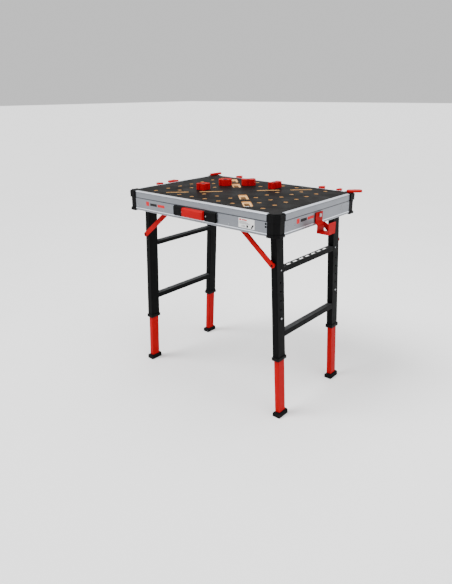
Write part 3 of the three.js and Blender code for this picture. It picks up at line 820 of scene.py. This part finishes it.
for end, e in ENDS.items():
    normal = (0.0, float(e), 0.0)
    bright = [(-380.0, -56.0), (-380.0, -69.0), (-BRACE_CATCH_X, -70.0), (BRACE_CATCH_X, -70.0)]
    fasteners(
        end + "_rail_screws",
        [(socket_screw(3.4 * MM, 2.2 * MM), spot(x, e * FACE_Y, z), normal) for x, z in bright],
        ZINC, "table_frame",
    )
    fasteners(
        end + "_rail_dark_screws",
        [(socket_screw(4.2 * MM, 2.6 * MM), spot(386.0, e * FACE_Y, z), normal) for z in (-41.0, -53.0)],
        BLACK_PAINT, "table_frame",
    )
for side, s in SIDES.items():
    normal = (float(s), 0.0, 0.0)
    pairs = [(y, z) for y in (-185.0, 185.0) for z in (-43.0, -60.0)] + [(-244.0, -53.0), (244.0, -53.0)]
    fasteners(
        side + "_rail_screws",
        [(socket_screw(3.2 * MM, 2.0 * MM), spot(s * FACE_X, y, z), normal) for y, z in pairs],
        ZINC, "table_frame",
    )
    screw_at = spot(HANDLE_MIDDLE + s * HANDLE_SCREW_REACH, -HALF_WIDTH - HANDLE_MOUNT_DEPTH, -56.0)
    fasteners(
        side + "_handle_screws", [(socket_screw(3.4 * MM, 2.0 * MM), screw_at, (0.0, -1.0, 0.0))],
        ZINC, "table_frame",
    )
    joints = []
    for end, e in ENDS.items():
        for y in (LEG_ROW - 6.0, LEG_ROW - 16.0):
            at, outwards = on_leg(side, CROSSBAR_RIVET_DEPTH + FRAME_DROP[side], e * y, LEG_HALF_WIDTH)
            joints.append((dome(3.4 * MM, 2.0 * MM), at, outwards))
    fasteners(side + "_crossbar_rivets", joints[::2], ZINC, side + "_leg_frame")
    fasteners(side + "_crossbar_plugs", joints[1::2], BLACK_PAINT, side + "_leg_frame")
    hinge_ends = []
    rod_low, rod_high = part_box(side + "_pivot_rod")
    rod = (rod_low + rod_high) / 2
    for end, e in ENDS.items():
        tip = Vector((rod.x, CENTRE.y + e * HINGE_NUT_ROW * MM, rod.z))
        hinge_ends.append((hex_nut(19.0 * MM, 5.0 * MM, 6.2 * MM), tip, (0.0, float(e), 0.0)))
    fasteners(side + "_hinge_nuts", hinge_ends, ZINC, "table_frame")
    for end, e in ENDS.items():
        corner = end + "_" + side + "_"
        pin = Vector(JOINT_AT[corner + "brace_turn"])
        pin.y = CENTRE.y + e * BRACE_RIVET_ROW * MM
        fasteners(
            corner + "brace_rivet", [(dome(5.0 * MM, 2.4 * MM), pin, (0.0, float(e), 0.0))],
            BLACK_PAINT, corner + "brace_arm",
        )


# ------------------------------------------------------------------ brace catches behind the long rails
def sheet_strip(section, x0, x1, thickness):
    """A bent strip: centre line points (y, z) in metres, extruded along X."""
    bm = bmesh.new()
    offsets = []
    for k, (y, z) in enumerate(section):
        before = Vector(section[max(k - 1, 0)])
        after = Vector(section[min(k + 1, len(section) - 1)])
        run = (after - before).normalized()
        offsets.append(Vector((-run.y, run.x)) * thickness / 2)
    loops = []
    for x in (x0, x1):
        upper = [bm.verts.new((x, y + o.x, z + o.y)) for (y, z), o in zip(section, offsets)]
        lower = [bm.verts.new((x, y - o.x, z - o.y)) for (y, z), o in zip(section, offsets)]
        loops.append((upper, lower))
    (u0, l0), (u1, l1) = loops
    for k in range(len(section) - 1):
        bm.faces.new((u0[k], u0[k + 1], u1[k + 1], u1[k]))
        bm.faces.new((l0[k + 1], l0[k], l1[k], l1[k + 1]))
        bm.faces.new((u0[k + 1], u0[k], l0[k], l0[k + 1]))
        bm.faces.new((u1[k], u1[k + 1], l1[k + 1], l1[k]))
    bm.faces.new((u0[0], u1[0], l1[0], l0[0]))
    bm.faces.new((u1[-1], u0[-1], l0[-1], l1[-1]))
    bmesh.ops.recalc_face_normals(bm, faces=bm.faces)
    return bm


for end, e in ENDS.items():
    for side, s in SIDES.items():
        middle = s * BRACE_CATCH_X
        inner = HALF_WIDTH - RAIL_WALL
        bends = [
            (inner - 1.4, -84.0), (inner - 1.4, -46.0), (inner - 3.4, -43.6),
            (268.4, -43.6), (266.8, -45.6), (266.8, -60.0),
        ]
        section = [(CENTRE.y + e * y * MM, CENTRE.z + z * MM) for y, z in bends]
        strip = sheet_strip(section, CENTRE.x + (middle - 15) * MM, CENTRE.x + (middle + 15) * MM, 2.0 * MM)
        catch = object_from(end + "_" + side + "_brace_catch", strip, ZINC)
        soften(catch, 0.4 * MM, 2, 60.0)
        place(catch, "table_frame")
        nut = hex_nut(8.0 * MM, 3.2 * MM, 2.4 * MM)
        nut_at = spot(middle, e * (inner - 2.4), -70.0)
        fasteners(
            end + "_" + side + "_catch_nut", [(nut, nut_at, (0.0, -float(e), 0.0))],
            ZINC, "table_frame",
        )


# ------------------------------------------------------------------ label and generic marks
def flat_pieces(name, rectangles, axis_x, axis_y, origin, material, slot, lift, lean=0.0):
    """Thin raised rectangles on a rail face; each is (x0, x1, y0, y1) in millimetres, turned by lean."""
    normal = axis_x.cross(axis_y)
    bm = bmesh.new()
    for x0, x1, y0, y1 in rectangles:
        corner = min(0.8, (x1 - x0) / 4, (y1 - y0) / 4)
        points = block_outline((x1 - x0) / 2, (y1 - y0) / 2, corner, lean, ((x0 + x1) / 2, (y0 + y1) / 2))
        on_face = [origin + (axis_x * x + axis_y * y) * MM for x, y in points]
        low = [bm.verts.new(at - normal * 0.05 * MM) for at in on_face]
        high = [bm.verts.new(at + normal * lift * MM) for at in on_face]
        closed_prism(bm, low, high)
    return place(object_from(name, bm, material), "table_frame")


FRONT = (Vector((1.0, 0.0, 0.0)), Vector((0.0, 0.0, 1.0)), spot(0.0, -FACE_Y, 0.0))
RIGHT = (Vector((0.0, 1.0, 0.0)), Vector((0.0, 0.0, 1.0)), spot(FACE_X, 0.0, 0.0))
flat_pieces("label_sheet", [(249, 331, -74, -35)], *FRONT, PAPER, "anodised_aluminium", 0.25)
headings = [(253, 262, -45, -38), (265, 292, -44, -39)]
flat_pieces("label_heading", headings, *FRONT, INK_RED, "red_paint", 0.32)
grey_lines = [(253, 290 + 9 * (k % 3), -50 - 4 * k, -48 - 4 * k) for k in range(3)]
grey_lines += [(266 + 7 * k, 269.5 + 7 * k, -71, -62) for k in range(3)]
flat_pieces("label_lines", grey_lines, *FRONT, INK_GREY, "anodised_aluminium", 0.32)
flat_pieces("label_block", [(290, 299, -71, -61)], *FRONT, INK_DARK, "black_paint", 0.32)
slash = [(316.5, 323.5, -73, -55)]
flat_pieces("label_slash", slash, *FRONT, INK_DARK, "black_paint", 0.32, math.radians(-35.0))
for name, face, start, level in (("front", FRONT, -318, -62), ("right", RIGHT, -172, -59)):
    square = (start, start + 20, level, level + 20)
    red_bar = (start + 80, start + 126, level + 3, level + 15)
    dark_bar = (start + 28, start + 74, level + 3, level + 15)
    flat_pieces(name + "_mark_red", [square, red_bar], *face, INK_RED, "red_paint", 0.12)
    flat_pieces(name + "_mark_dark", [dark_bar], *face, INK_DARK, "black_paint", 0.12)


# ------------------------------------------------------------------ studio
CAMERA_TURN = {"azimuth": 41.058, "elevation": 21.531, "roll": -0.439}
CAMERA_AT = (1550.3, -1864.946, 435.881)


def set_camera():
    """Looks down on the worktop from in front of its right-hand corner."""
    azimuth, elevation, roll = (math.radians(CAMERA_TURN[k]) for k in ("azimuth", "elevation", "roll"))
    level = math.cos(elevation)
    forward = Vector((-math.sin(azimuth) * level, math.cos(azimuth) * level, -math.sin(elevation)))
    right = Vector((math.cos(azimuth), math.sin(azimuth), 0.0))
    up = right.cross(forward)
    turned_right = right * math.cos(roll) + up * math.sin(roll)
    turned_up = up * math.cos(roll) - right * math.sin(roll)
    data = bpy.data.cameras.new("camera")
    data.lens = 31.557
    data.sensor_width = 36.0
    data.shift_x = -0.00442
    data.shift_y = 0.00275
    camera = bpy.data.objects.new("camera", data)
    bpy.context.collection.objects.link(camera)
    axes = Matrix((turned_right, turned_up, -forward)).transposed().to_4x4()
    camera.matrix_world = Matrix.Translation(spot(*CAMERA_AT)) @ axes
    bpy.context.scene.camera = camera


def soft_light(name, at, aim, size, power):
    data = bpy.data.lights.new(name, "AREA")
    data.shape = "RECTANGLE"
    data.size, data.size_y = size
    data.energy = power
    light = bpy.data.objects.new(name, data)
    bpy.context.collection.objects.link(light)
    direction = (Vector(aim) - Vector(at)).to_track_quat("-Z", "Y").to_matrix().to_4x4()
    light.matrix_world = Matrix.Translation(Vector(at)) @ direction


def soft_sun(name, towards_light, strength, spread):
    data = bpy.data.lights.new(name, "SUN")
    data.energy = strength
    data.angle = math.radians(spread)
    light = bpy.data.objects.new(name, data)
    bpy.context.collection.objects.link(light)
    light.matrix_world = Vector(towards_light).to_track_quat("Z", "Y").to_matrix().to_4x4()


def build_studio():
    floor = bpy.data.meshes.new("floor")
    reach = 60.0
    corners = [(-reach, -reach, 0), (reach, -reach, 0), (reach, reach, 0), (-reach, reach, 0)]
    floor.from_pydata(corners, [], [(0, 1, 2, 3)])
    new_object("floor", floor, studio_surface())
    world = bpy.data.worlds.new("studio")
    world.use_nodes = True
    room = world.node_tree.nodes["Background"]
    room.inputs["Color"].default_value = (1.0, 1.0, 1.0, 1.0)
    room.inputs["Strength"].default_value = 0.8
    bpy.context.scene.world = world
    soft_sun("key", (-0.55, -0.75, 1.25), 4.0, 30.0)
    soft_sun("fill", (1.0, -0.25, 0.9), 1.7, 60.0)
    soft_light("top", (0.1, 0.5, 3.2), (0, 0, 0.8), (2.4, 2.4), 70)


set_camera()
build_studio()
